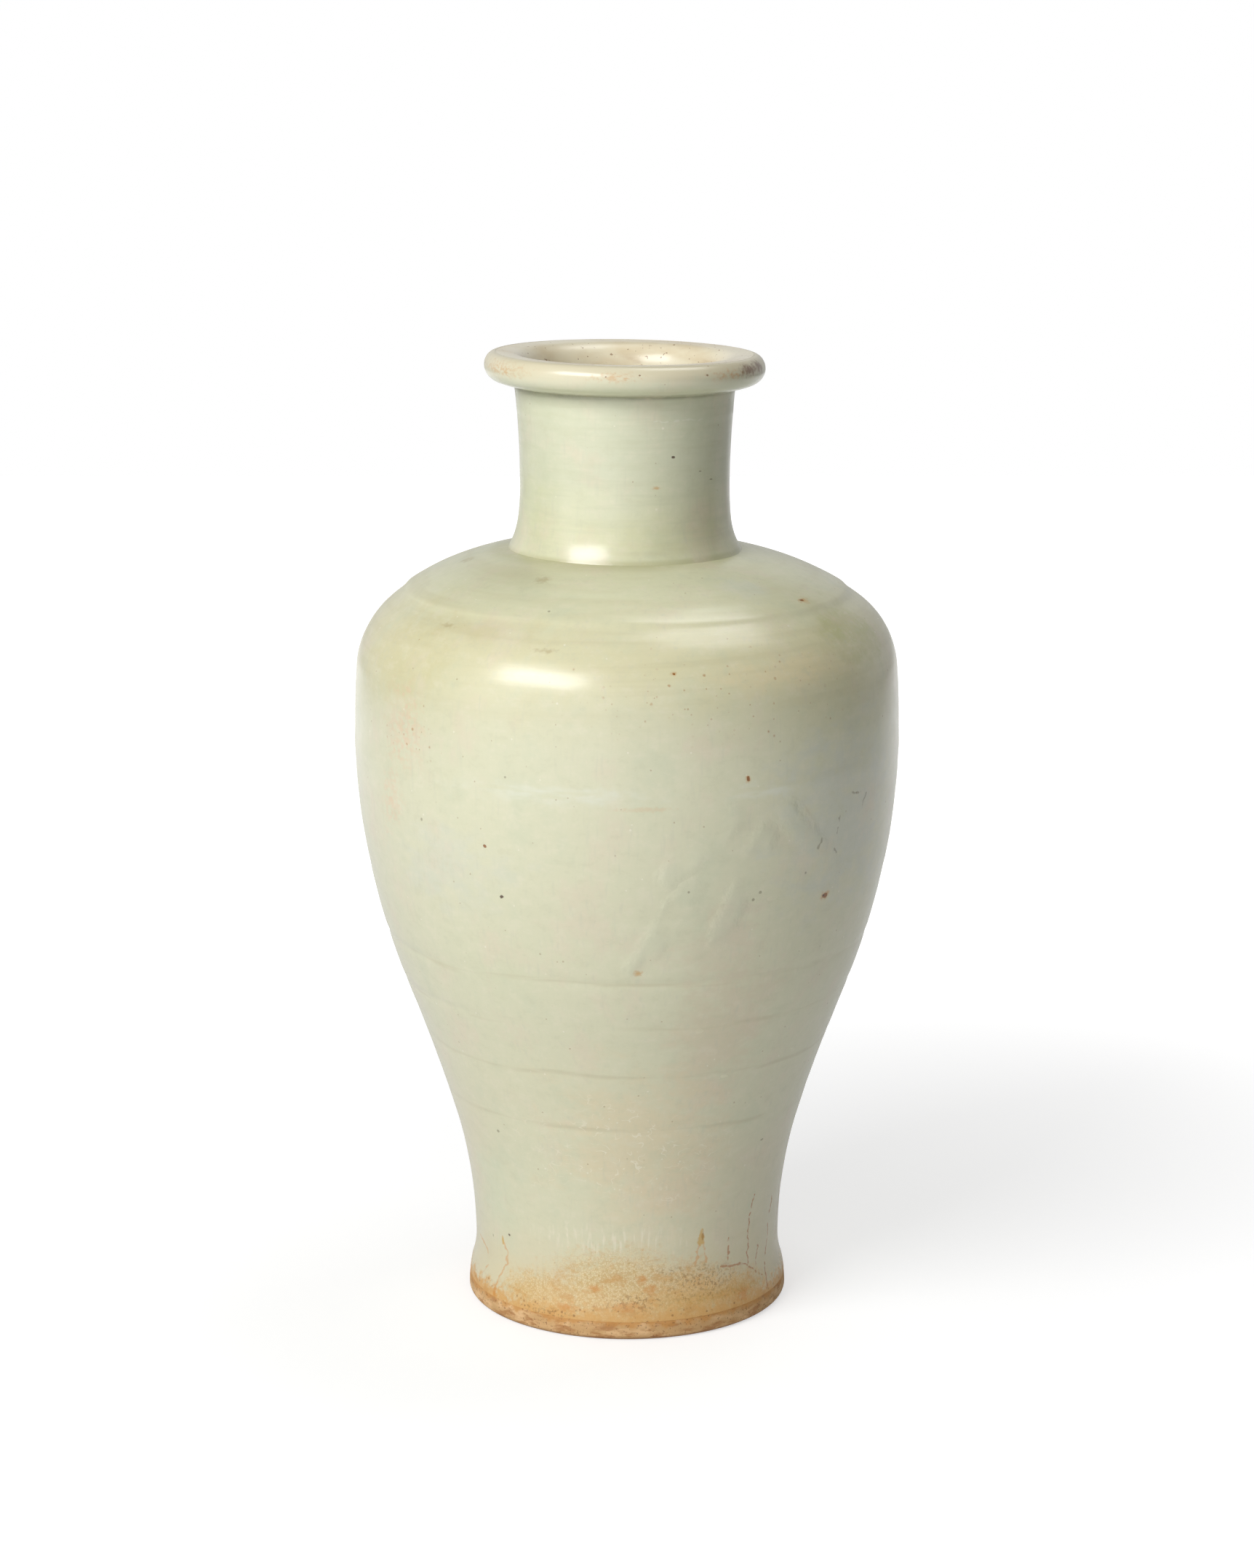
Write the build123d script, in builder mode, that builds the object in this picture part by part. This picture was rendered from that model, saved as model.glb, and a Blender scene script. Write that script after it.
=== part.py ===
from build123d import *
import os
from dataclasses import dataclass
from itertools import pairwise
from math import cos, radians, sin, sqrt

# A meiping vase in stoneware. Clay sections are thrown one by one, stacked and luted together
# with slip, and the finished pot is coated with glaze outside and lined with glaze inside.
# Millimetres, +Z up along the vase's axis, origin on the table at the middle of the foot.
# Radii and rises are those of the bare clay. Each rise counts from the level named before it.
# A lean is the outline's angle from upright in degrees, positive where the wall opens outward.

# Foot: a turned ring round a recessed base
foot_radius = 59.1
foot_edge_rounding = 2.3
foot_ring_width = 8.0
foot_ring_slope = 2.5
foot_ring_inner_rounding = 1.2
recess_depth = 4.5
recess_corner_rounding = 2.0
floor_thickness = 9.0
floor_sweep = 16.0

# Body: drawn in above the foot, then opening up the flank to the belly
waist_radius = 55.9
waist_rise = 21.5
flank_radius = 79.1
flank_rise = 96.5
flank_lean = 21.5
belly_radius = 98.0
belly_rise = 95.0

# Shoulder: turns in steeply, breaks at a raised ridge and flattens towards the neck
shoulder_draw_in = 11.7
shoulder_rise = 46.7
shoulder_lean = -49.4
ridge_draw_in = 7.55
ridge_rise = 6.35
ridge_lean_below = -42.2
ridge_lean_above = -57.5

# Neck: a waisted collar that stands on the shoulder with a sharp root
neck_radius = 37.0
neck_root_flare = 4.65
neck_root_rise = 13.65
neck_root_lean_below = -80.8
neck_root_lean_above = -32.8
neck_root_lean_inside = -74.0
neck_waist_rise = 24.8
neck_top_flare = 1.9
neck_top_rise = 34.1
neck_top_lean = 6.6

# Rim: a flat-topped roll that overhangs the neck and turns down into the throat
rim_overhang = 10.55
rim_rise = 6.7
rim_underside_lean = 80.0
crest_inset = 3.65
crest_rise = 4.2
lip_inset = 5.8
lip_drop = 0.3
lip_lean = -98.0
throat_drop = 9.2

# Walls
foot_wall = 9.0
flank_wall = 7.0
belly_wall = 6.0
shoulder_wall = 6.0
neck_wall = 5.0

# Seams: a layer of slip between two sections
slip_thickness = 1.0
low_seam_rise = 23.0
belly_seam_drop = 2.7
neck_seam_rise = 1.0
rim_seam_drop = 1.2

# Glaze coats
glaze_thickness = 0.5
glaze_line_height = 7.0


@dataclass
class Station:
    """A place on the outline, which is walked with the clay on the left and the air on the right."""

    radius: float
    height: float
    lean: float
    lean_after: float = None

    def __post_init__(self):
        if self.lean_after is None:
            self.lean_after = self.lean

    @property
    def point(self):
        return Vector(self.radius, self.height)

    def moved(self, distance):
        """The same place after the wall moves squarely by a distance, into the air where positive."""
        before = air_side(heading(self.lean))
        after = air_side(heading(self.lean_after))
        place = self.point + (before + after) * (distance / (1 + before.dot(after)))
        return Station(place.X, place.Y, self.lean, self.lean_after)

    def behind(self, wall):
        """The place on the inner face, one wall behind, where the walk comes back down."""
        place = self.moved(-wall)
        return Station(place.radius, place.height, place.lean + 180)


def heading(lean):
    return Vector(sin(radians(lean)), cos(radians(lean)))


def air_side(direction):
    return Vector(direction.Y, -direction.X)


def tangent_arc(start, end, direction):
    """An arc that sets off in a direction, or a line where the end lies straight ahead."""
    chord = end - start
    straight_sine = 1e-6
    if chord.cross(direction).length < straight_sine * chord.length:
        return Line(start, end)
    return TangentArc(start, end, tangent=direction)


def outline(stations, coat=0):
    """Joins each station to the next by two arcs that keep both leans and run smoothly into each other.

    A coat moves the arcs into the air by its thickness, about the same centres.
    """
    for start, end in pairwise(stations):
        leaving = heading(start.lean_after)
        arriving = heading(end.lean)
        chord = end.point - start.point
        along = chord.dot(leaving + arriving)
        turn = 1 - leaving.dot(arriving)
        reach = chord.length**2 / (along + sqrt(along**2 + 2 * turn * chord.length**2))
        middle = (start.point + end.point + (leaving - arriving) * reach) * 0.5
        first_chord = (middle - start.point).normalized()
        passing = first_chord * (2 * first_chord.dot(leaving)) - leaving
        coated_middle = middle + air_side(passing) * coat
        tangent_arc(coated_middle, start.moved(coat).point, -passing)
        tangent_arc(coated_middle, end.moved(coat).point, passing)


# Outside of the clay, from the table up to the crest of the rim
bearing_edge = Station(foot_radius - foot_edge_rounding, 0, 90)
foot_edge = Station(foot_radius, foot_edge_rounding, 0)
waist = Station(waist_radius, waist_rise, 0)
flank = Station(flank_radius, waist.height + flank_rise, flank_lean)
belly = Station(belly_radius, flank.height + belly_rise, 0)
shoulder = Station(belly_radius - shoulder_draw_in, belly.height + shoulder_rise, shoulder_lean)
ridge = Station(
    shoulder.radius - ridge_draw_in,
    shoulder.height + ridge_rise,
    ridge_lean_below,
    ridge_lean_above,
)
neck_root = Station(
    neck_radius + neck_root_flare,
    ridge.height + neck_root_rise,
    neck_root_lean_below,
    neck_root_lean_above,
)
neck_waist = Station(neck_radius, neck_root.height + neck_waist_rise, 0)
neck_top = Station(
    neck_radius + neck_top_flare,
    neck_waist.height + neck_top_rise,
    neck_top_lean,
    rim_underside_lean,
)
rim_edge = Station(neck_top.radius + rim_overhang, neck_top.height + rim_rise, 0)
crest = Station(rim_edge.radius - crest_inset, rim_edge.height + crest_rise, -90)

# Inside of the clay, from the crest over the lip and back down to the floor
floor_height = recess_depth + floor_thickness
lip = Station(crest.radius - lip_inset, crest.height - lip_drop, lip_lean)
throat = Station(neck_top.radius - neck_wall, lip.height - throat_drop, -180)
neck_root_inside = Station(neck_root.radius, neck_root.height, neck_root_lean_inside).behind(shoulder_wall)
waist_inside = Station(waist_radius - foot_wall, floor_height + floor_sweep, 180)
floor_edge = Station(waist_inside.radius - floor_sweep, floor_height, 270)

outside = [bearing_edge, foot_edge, waist, flank, belly, shoulder, ridge, neck_root]
outside += [neck_waist, neck_top, rim_edge, crest]
inside = [crest, lip, throat, neck_waist.behind(neck_wall), neck_root_inside]
inside += [shoulder.behind(shoulder_wall), belly.behind(belly_wall), flank.behind(flank_wall)]
inside += [waist_inside, floor_edge]

# Underside of the base, from the axis out to where the foot ring bears on the table
ring_inner_radius = bearing_edge.radius - foot_ring_width
underside = [
    (0, recess_depth),
    (ring_inner_radius - foot_ring_slope, recess_depth),
    (ring_inner_radius, 0),
    bearing_edge.point,
]
underside_roundings = [recess_corner_rounding, foot_ring_inner_rounding]

# Middle heights of the four slip seams
low_seam = flank.height + low_seam_rise
belly_seam = belly.height - belly_seam_drop
neck_seam = neck_root.height + neck_seam_rise
rim_seam = neck_top.height - rim_seam_drop
half_slip = slip_thickness / 2

# The whole clay wall in section: radius to the right, height upwards
with BuildSketch() as clay_wall:
    with BuildLine():
        outline(outside + inside[1:])
        Polyline(floor_edge.point, (0, floor_height), (0, recess_depth))
        FilletPolyline(*underside, radius=underside_roundings)
    make_face()

# A band as wide as the glazed vase, used to cut the section at the seams
widest = 2 * (max(station.radius for station in outside) + glaze_thickness)


def keep_between(low, high):
    """Keeps the stretch of the section between two heights."""
    with Locations((0, (low + high) / 2)):
        Rectangle(widest, high - low, mode=Mode.INTERSECT)


def save(piece, name):
    piece.part.label = name
    export_step(piece.part, f"parts/{name}.step")


os.makedirs("parts", exist_ok=True)

# Foot section: thrown with its floor, then turned upside down to cut the ring and the recess
with BuildPart() as foot_section:
    with BuildSketch(Plane.XZ):
        add(clay_wall)
        keep_between(0, low_seam - half_slip)
    revolve(axis=Axis.Z)
save(foot_section, "foot_section")

# Belly section: an open ring that carries the wall from the flank to the widest part
with BuildPart() as belly_section:
    with BuildSketch(Plane.XZ):
        add(clay_wall)
        keep_between(low_seam + half_slip, belly_seam - half_slip)
    revolve(axis=Axis.Z)
save(belly_section, "belly_section")

# Shoulder section: closes the body in to the neck's root, with the ridge on its outside
with BuildPart() as shoulder_section:
    with BuildSketch(Plane.XZ):
        add(clay_wall)
        keep_between(belly_seam + half_slip, neck_seam - half_slip)
    revolve(axis=Axis.Z)
save(shoulder_section, "shoulder_section")

# Neck section: the waisted collar
with BuildPart() as neck_section:
    with BuildSketch(Plane.XZ):
        add(clay_wall)
        keep_between(neck_seam + half_slip, rim_seam - half_slip)
    revolve(axis=Axis.Z)
save(neck_section, "neck_section")

# Mouth rim: a coil rolled over the top of the neck
with BuildPart() as mouth_rim:
    with BuildSketch(Plane.XZ):
        add(clay_wall)
        keep_between(rim_seam + half_slip, crest.height)
    revolve(axis=Axis.Z)
save(mouth_rim, "mouth_rim")

# Slip seams: the layer of liquid clay that lutes each section to the next
seams = {
    "low_slip_seam": low_seam,
    "belly_slip_seam": belly_seam,
    "neck_slip_seam": neck_seam,
    "rim_slip_seam": rim_seam,
}
for name, height in seams.items():
    with BuildPart() as slip_seam:
        with BuildSketch(Plane.XZ):
            add(clay_wall)
            keep_between(height - half_slip, height + half_slip)
        revolve(axis=Axis.Z)
    save(slip_seam, name)

# Outer glaze: the coat from the glaze line above the bare foot up to the crest of the rim
with BuildPart() as outer_glaze:
    with BuildSketch(Plane.XZ):
        with BuildLine():
            outline(outside[1:])
            Line(crest.point, crest.moved(glaze_thickness).point)
            outline(outside[1:], glaze_thickness)
            Line(foot_edge.point, foot_edge.moved(glaze_thickness).point)
        make_face()
        keep_between(glaze_line_height, crest.height + glaze_thickness)
    revolve(axis=Axis.Z)
save(outer_glaze, "outer_glaze")

# Lining glaze: poured in, swirled over the whole inside and drained over the lip
with BuildPart() as lining_glaze:
    with BuildSketch(Plane.XZ):
        with BuildLine():
            outline(inside)
            Polyline(
                floor_edge.point,
                (0, floor_height),
                (0, floor_height + glaze_thickness),
                floor_edge.moved(glaze_thickness).point,
            )
            outline(inside, glaze_thickness)
            Line(crest.point, crest.moved(glaze_thickness).point)
        make_face()
    revolve(axis=Axis.Z)
save(lining_glaze, "lining_glaze")
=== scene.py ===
from itertools import pairwise
from math import cos, pi, radians, sin, sqrt

import bpy
import numpy as np
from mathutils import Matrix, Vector


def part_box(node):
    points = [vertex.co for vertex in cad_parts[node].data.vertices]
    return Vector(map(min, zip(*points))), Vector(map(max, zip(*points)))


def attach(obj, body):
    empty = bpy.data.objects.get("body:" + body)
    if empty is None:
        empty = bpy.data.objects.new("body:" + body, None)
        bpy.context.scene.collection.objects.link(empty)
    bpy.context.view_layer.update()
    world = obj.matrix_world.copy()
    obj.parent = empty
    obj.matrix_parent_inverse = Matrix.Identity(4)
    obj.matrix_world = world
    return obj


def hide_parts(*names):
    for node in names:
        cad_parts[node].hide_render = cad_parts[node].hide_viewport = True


# A meiping vase of thrown stoneware with a celadon coat. +Z is up its axis, and the camera looks from -Y.
# The vase's sizes are in millimetres. The meshes, the floor, the lamps and the camera are in metres.
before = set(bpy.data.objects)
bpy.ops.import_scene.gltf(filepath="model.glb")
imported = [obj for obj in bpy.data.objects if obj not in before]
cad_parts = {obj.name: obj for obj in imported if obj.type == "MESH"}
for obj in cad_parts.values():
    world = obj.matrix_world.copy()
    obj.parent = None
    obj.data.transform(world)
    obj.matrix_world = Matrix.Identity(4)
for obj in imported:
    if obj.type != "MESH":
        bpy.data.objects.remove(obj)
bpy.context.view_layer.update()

# Clay sections
# Five pieces of buff stoneware, thrown on the wheel, stacked while leather-hard and luted with slip.
# Only the turned foot of the lowest one stays bare: the glaze covers the others.
MM = 0.001


class Station:
    """A place on the pot's outline, walked with the clay on the left and the air on the right.

    A place is radius + height * i in millimetres. A lean is the wall's angle from upright in degrees,
    positive where it opens outward, and leaving is the lean after a corner.
    """

    def __init__(self, radius, height, lean, leaving=None):
        self.place = complex(radius, height)
        self.arriving = 1j * np.exp(-1j * radians(lean))
        self.leaving = 1j * np.exp(-1j * radians(lean if leaving is None else leaving))


outside = [
    Station(56.8, 0, 90),  # bearing edge
    Station(59.1, 2.3, 0),  # foot edge
    Station(55.9, 21.5, 0),  # waist
    Station(79.1, 118, 21.5),  # flank
    Station(98, 213, 0),  # belly
    Station(86.3, 259.7, -49.4),  # shoulder
    Station(78.75, 266.05, -42.2, -57.5),  # ridge
    Station(41.65, 279.7, -80.8, -32.8),  # neck root
    Station(37, 304.5, 0),  # neck waist
    Station(38.9, 338.6, 6.6, 80),  # neck top
    Station(49.45, 345.3, 0),  # rim edge
    Station(45.8, 349.5, -90),  # crest
]
inside = [
    outside[-1],  # crest
    Station(40, 349.2, -98),  # lip
    Station(33.9, 340, -180),  # throat
    Station(32, 304.5, 180),  # neck waist
    Station(40, 273.9, 106),  # neck root
    Station(82.4, 255.1, 130.6),  # shoulder
    Station(92, 213, 180),  # belly
    Station(72.6, 120.6, 201.5),  # flank
    Station(46.9, 29.5, 180),  # waist
    Station(30.9, 13.5, 270),  # floor edge
]
underside = np.array([4.5j, 46 + 4.5j, 47.5 + 2.5j, 49.5 + 0.4j, 50.5, 56.8])
floor_centre = 13.5j


def arc(start, end, heading, longest_step):
    """Places on the arc that sets off along a heading, close enough together to look round."""
    largest_turn = radians(6)
    chord = end - start
    turn = np.angle(chord / heading)
    count = int(max(abs(chord) / longest_step, abs(2 * turn) / largest_turn)) + 2
    way = np.linspace(0, 1, count)
    swept = way * np.sinc(turn * way / pi) / np.sinc(turn / pi)
    return start + chord * swept * np.exp(1j * turn * (way - 1))


def outline(stations, longest_step=1.5):
    """Joins each station to the next by two arcs that keep both leans and run smoothly into each other."""
    places = []
    for start, end in pairwise(stations):
        chord = end.place - start.place
        along = (chord * np.conj(start.leaving + end.arriving)).real
        turn = 1 - (start.leaving * np.conj(end.arriving)).real
        reach = abs(chord) ** 2 / (along + sqrt(along**2 + 2 * turn * abs(chord) ** 2))
        middle = (start.place + end.place + (start.leaving - end.arriving) * reach) / 2
        first_chord = (middle - start.place) / abs(middle - start.place)
        passing = first_chord**2 / start.leaving
        places += [*arc(start.place, middle, start.leaving, longest_step)[:-1]]
        places += [*arc(middle, end.place, passing, longest_step)[:-1]]
    return np.array(places + [stations[-1].place])


def between(line, low, high):
    """The stretch of a rising line between two heights, with its ends cut level."""
    shortest_step = 0.05
    ends = np.interp([low, high], line.imag, line.real) + 1j * np.array([low, high])
    middle = line[(line.imag > low + shortest_step) & (line.imag < high - shortest_step)]
    return np.concatenate([ends[:1], middle, ends[1:]])


def air_side(line):
    """Unit steps from the clay into the air, one for each place on a line."""
    heading = np.gradient(line)
    return -1j * heading / abs(heading)


clay_outside = outline(outside)
clay_inside = outline(inside)


def add_node(tree, kind, inputs=None, **settings):
    """Adds a node, with each input set to a value or linked to another node's output."""
    node = tree.nodes.new(kind)
    for name, value in settings.items():
        setattr(node, name, value)
    for name, value in (inputs or {}).items():
        if isinstance(value, bpy.types.NodeSocket):
            tree.links.new(value, node.inputs[name])
        else:
            node.inputs[name].default_value = value
    return node


def math_node(tree, operation, *values):
    """The output of a Math node."""
    return add_node(tree, "ShaderNodeMath", dict(enumerate(values)), operation=operation).outputs[0]


def vector_math(tree, operation, *values, **named_values):
    """The outputs of a Vector Math node."""
    inputs = {**dict(enumerate(values)), **named_values}
    return add_node(tree, "ShaderNodeVectorMath", inputs, operation=operation).outputs


def smooth_step(tree, value, start, end):
    """A mask that rises softly from 0 at start to 1 at end."""
    inputs = {"Value": value, "From Min": start, "From Max": end}
    return add_node(tree, "ShaderNodeMapRange", inputs, interpolation_type="SMOOTHSTEP").outputs[0]


def make_wheel():
    """The potter's wheel: turns a section round the axis and leaves the traces of the hand.

    The section is a line of vertices at (radius, 0, height), walked with the clay on the left. Turning
    it clockwise makes the faces point outwards. Its attribute air says where throwing rings may show,
    and its attribute line how proud a single throwing line stands.
    """
    tree = bpy.data.node_groups.new("potters_wheel", "GeometryNodeTree")
    sockets = {
        "Section": "NodeSocketGeometry",
        "Segments": "NodeSocketInt",
        "Ring depth": "NodeSocketFloat",
        "Ring spacing": "NodeSocketFloat",
        "Out of round": "NodeSocketFloat",
        "Neck drift": "NodeSocketFloat",
        "Rim tilt": "NodeSocketFloat",
        "Tilt from": "NodeSocketFloat",
        "Tilt to": "NodeSocketFloat",
        "Seed": "NodeSocketFloat",
        "Finish": "NodeSocketMaterial",
    }
    for name, kind in sockets.items():
        tree.interface.new_socket(name, in_out="INPUT", socket_type=kind)
    tree.interface.new_socket("Thrown piece", in_out="OUTPUT", socket_type="NodeSocketGeometry")
    given = add_node(tree, "NodeGroupInput").outputs
    section = given["Section"]

    rows = add_node(tree, "GeometryNodeAttributeDomainSize", {"Geometry": section}).outputs["Point Count"]
    columns = math_node(tree, "ADD", given["Segments"], 1)
    sheet = {"Size X": 1, "Size Y": 1, "Vertices X": rows, "Vertices Y": columns}
    grid = add_node(tree, "GeometryNodeMeshGrid", sheet).outputs[0]
    index = add_node(tree, "GeometryNodeInputIndex").outputs[0]
    row = math_node(tree, "FLOOR", math_node(tree, "DIVIDE", math_node(tree, "ADD", index, 0.5), columns))
    column = math_node(tree, "SUBTRACT", index, math_node(tree, "MULTIPLY", row, columns))
    clockwise = -2 * pi
    angle = math_node(tree, "DIVIDE", math_node(tree, "MULTIPLY", column, clockwise), given["Segments"])
    cosine = math_node(tree, "COSINE", angle)
    sine = math_node(tree, "SINE", angle)

    def on_row(value, data_type):
        """What the section has at the vertex that a row of the grid comes from."""
        inputs = {"Geometry": section, "Value": value, "Index": row}
        return add_node(tree, "GeometryNodeSampleIndex", inputs, data_type=data_type, clamp=True).outputs[0]

    def named(attribute, data_type):
        """An attribute of the section."""
        kind = "GeometryNodeInputNamedAttribute"
        return add_node(tree, kind, {"Name": attribute}, data_type=data_type).outputs["Attribute"]

    def then(kind, geometry, inputs=None, **settings):
        """The geometry after one more step of the work."""
        return add_node(tree, kind, {"Geometry": geometry, **(inputs or {})}, **settings).outputs[0]

    place = on_row(add_node(tree, "GeometryNodeInputPosition").outputs[0], "FLOAT_VECTOR")
    air = on_row(named("air", "FLOAT_VECTOR"), "FLOAT_VECTOR")
    line = on_row(named("line", "FLOAT"), "FLOAT")
    at = add_node(tree, "ShaderNodeSeparateXYZ", {0: place}).outputs
    out = add_node(tree, "ShaderNodeSeparateXYZ", {0: air}).outputs

    wander = 0.35
    climb = math_node(tree, "ADD", math_node(tree, "DIVIDE", at["Z"], given["Ring spacing"]), given["Seed"])
    where = {
        "X": math_node(tree, "MULTIPLY", cosine, wander),
        "Y": math_node(tree, "MULTIPLY", sine, wander),
        "Z": climb,
    }
    ring_place = add_node(tree, "ShaderNodeCombineXYZ", where).outputs[0]
    ring = add_node(tree, "ShaderNodeTexNoise", {"Vector": ring_place, "Scale": 1, "Detail": 2}).outputs[0]
    ring = math_node(tree, "MULTIPLY", math_node(tree, "SUBTRACT", ring, 0.5), given["Ring depth"])
    breaks = (4, 4, 0.3)
    fade_place = vector_math(tree, "MULTIPLY", ring_place, breaks)[0]
    fade = add_node(tree, "ShaderNodeTexNoise", {"Vector": fade_place, "Scale": 1}).outputs[0]
    line = math_node(tree, "MULTIPLY", line, smooth_step(tree, fade, 0.3, 0.65))
    oval_turn = 1
    oval = math_node(tree, "COSINE", math_node(tree, "MULTIPLY_ADD", angle, 2, oval_turn))
    oval = math_node(tree, "ADD", 1, math_node(tree, "MULTIPLY", oval, given["Out of round"]))
    proud = math_node(tree, "ADD", ring, line)
    radius = math_node(tree, "ADD", at["X"], math_node(tree, "MULTIPLY", out["X"], proud))
    radius = math_node(tree, "MULTIPLY", radius, oval)
    height = math_node(tree, "ADD", at["Z"], math_node(tree, "MULTIPLY", out["Z"], proud))

    sway = smooth_step(tree, at["Z"], given["Tilt from"], given["Tilt to"])
    across = math_node(tree, "MULTIPLY", radius, cosine)
    drop = math_node(tree, "MULTIPLY", math_node(tree, "MULTIPLY", across, given["Rim tilt"]), sway)
    thrown = {
        "X": math_node(tree, "ADD", across, math_node(tree, "MULTIPLY", given["Neck drift"], sway)),
        "Y": math_node(tree, "MULTIPLY", radius, sine),
        "Z": math_node(tree, "SUBTRACT", height, drop),
    }
    thrown_place = add_node(tree, "ShaderNodeCombineXYZ", thrown).outputs[0]

    weld_distance = 0.02 * MM
    crisp_angle = radians(40)
    edge_angle = add_node(tree, "GeometryNodeInputMeshEdgeAngle").outputs["Unsigned Angle"]
    crisp = math_node(tree, "GREATER_THAN", edge_angle, crisp_angle)
    creases = {"Selection": crisp, "Shade Smooth": False}
    piece = then("GeometryNodeSetPosition", grid, {"Position": thrown_place})
    piece = then("GeometryNodeMergeByDistance", piece, {"Distance": weld_distance})
    piece = then("GeometryNodeSetShadeSmooth", piece)
    piece = then("GeometryNodeSetShadeSmooth", piece, creases, domain="EDGE")
    piece = then("GeometryNodeRealizeInstances", piece)
    piece = then("GeometryNodeSetMaterial", piece, {"Material": given["Finish"]})
    add_node(tree, "NodeGroupOutput", {0: piece})
    return tree


wheel = make_wheel()


def throw(name, section, finish, air=None, line=None, segments=128, ring_depth=0.0, seed=0.0):
    """Throws one piece from its section and puts it in the place of the node of the same name."""
    section_mesh = bpy.data.meshes.new(name)
    vertices = [(place.real * MM, 0, place.imag * MM) for place in section]
    section_mesh.from_pydata(vertices, list(pairwise(range(len(section)))), [])
    air = np.zeros(len(section), complex) if air is None else air
    line = np.zeros(len(section)) if line is None else line
    steps = np.stack([air.real, np.zeros(len(air)), air.imag], axis=1)
    section_mesh.attributes.new("air", "FLOAT_VECTOR", "POINT").data.foreach_set("vector", steps.ravel())
    section_mesh.attributes.new("line", "FLOAT", "POINT").data.foreach_set("value", line * MM)
    piece = bpy.data.objects.new(name + "_thrown", section_mesh)
    bpy.context.scene.collection.objects.link(piece)
    turning = piece.modifiers.new("wheel", "NODES")
    turning.node_group = wheel
    values = {
        "Segments": segments,
        "Ring depth": ring_depth * MM,
        "Ring spacing": 19 * MM,
        "Out of round": 0.002,
        "Neck drift": -0.8 * MM,
        "Rim tilt": sin(radians(0.8)),
        "Tilt from": 250 * MM,
        "Tilt to": 290 * MM,
        "Seed": seed,
        "Finish": finish,
    }
    for socket in wheel.interface.items_tree:
        if socket.in_out == "INPUT" and socket.name in values:
            turning[socket.identifier] = values[socket.name]
    evaluated = piece.evaluated_get(bpy.context.evaluated_depsgraph_get())
    piece_mesh = bpy.data.meshes.new_from_object(evaluated)
    piece.modifiers.remove(turning)
    piece.data = piece_mesh
    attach(piece, "root")
    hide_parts(name)


def colour(red, green, blue):
    """A colour given as it looks on a screen, from 0 to 255, as linear light by the sRGB curve."""
    shares = np.array([red, green, blue]) / 255
    linear = np.where(shares <= 0.04045, shares / 12.92, ((shares + 0.055) / 1.055) ** 2.4)
    return (*linear.tolist(), 1.0)


class Finish:
    """A surface finish painted in layers, on object coordinates in millimetres."""

    def __init__(self, name, ground):
        self.material = bpy.data.materials.new(name)
        self.material.use_nodes = True
        self.tree = self.material.node_tree
        self.surface = self.tree.nodes["Principled BSDF"]
        coordinates = add_node(self.tree, "ShaderNodeTexCoord").outputs["Object"]
        self.place = self.vector("SCALE", coordinates, Scale=1 / MM)[0]
        self.height = add_node(self.tree, "ShaderNodeSeparateXYZ", {0: self.place}).outputs["Z"]
        self.paint = ground
        self.relief = None

    def math(self, operation, *values):
        return math_node(self.tree, operation, *values)

    def vector(self, operation, *values, **named_values):
        return vector_math(self.tree, operation, *values, **named_values)

    def spread(self, noise, low, high):
        """A value from low to high, as a noise goes from 0 to 1."""
        return self.math("MULTIPLY_ADD", noise, high - low, low)

    def mask(self, value, start, end):
        return smooth_step(self.tree, value, start, end)

    def band(self, rise, fall):
        """A mask of a band of heights, which comes in between two heights and goes out between two others."""
        return self.math("MULTIPLY", self.mask(self.height, *rise), self.mask(self.height, *fall[::-1]))

    def ragged_height(self, noise, reach):
        """The height, swayed up and down by a noise, for the edge of a band."""
        return self.math("MULTIPLY_ADD", noise, reach, self.height)

    def off_level(self, value, level):
        """How far a value lies from a level, above or below."""
        return self.math("ABSOLUTE", self.math("SUBTRACT", value, level))

    def stretched(self, across, tall, shift=(0, 0, 0)):
        """Object coordinates in units of a grain that is so wide and so tall in millimetres."""
        scale = (1 / across, 1 / across, 1 / tall)
        return self.vector("MULTIPLY_ADD", self.place, scale, shift)[0]

    def cloud(self, across, tall, shift=(0, 0, 0), detail=3, roughness=0.55):
        """Soft noise from 0 to 1 with grains of that size."""
        inputs = {
            "Vector": self.stretched(across, tall, shift),
            "Scale": 1,
            "Detail": detail,
            "Roughness": roughness,
        }
        return add_node(self.tree, "ShaderNodeTexNoise", inputs).outputs[0]

    def ripple(self, across, tall, shift=(0, 0, 0), detail=3):
        """The same noise about 0, from -0.5 to 0.5."""
        return self.math("SUBTRACT", self.cloud(across, tall, shift, detail), 0.5)

    def layer(self, mask, tint, strength=1.0, within=None):
        """Paints a tint over what is there, where a mask says, and only within a second one if given."""
        if within is not None:
            mask = self.math("MULTIPLY", mask, within)
        if strength < 1:
            mask = self.math("MULTIPLY", mask, strength)
        factor, below, above = 0, 6, 7
        inputs = {factor: mask, below: self.paint, above: tint}
        self.paint = add_node(self.tree, "ShaderNodeMix", inputs, data_type="RGBA").outputs[2]

    def raise_by(self, height, depth):
        """Adds a relief that stands so many millimetres proud where height is 1."""
        lifted = self.math("MULTIPLY", height, depth)
        self.relief = lifted if self.relief is None else self.math("ADD", self.relief, lifted)

    def fire(self, roughness):
        """Links the finished layers to the surface and gives its material."""
        self.tree.links.new(self.paint, self.surface.inputs["Base Color"])
        if isinstance(roughness, bpy.types.NodeSocket):
            self.tree.links.new(roughness, self.surface.inputs["Roughness"])
        else:
            self.surface.inputs["Roughness"].default_value = roughness
        if self.relief is not None:
            bump = add_node(self.tree, "ShaderNodeBump", {"Height": self.relief, "Distance": MM})
            self.tree.links.new(bump.outputs[0], self.surface.inputs["Normal"])
        return self.material


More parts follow.
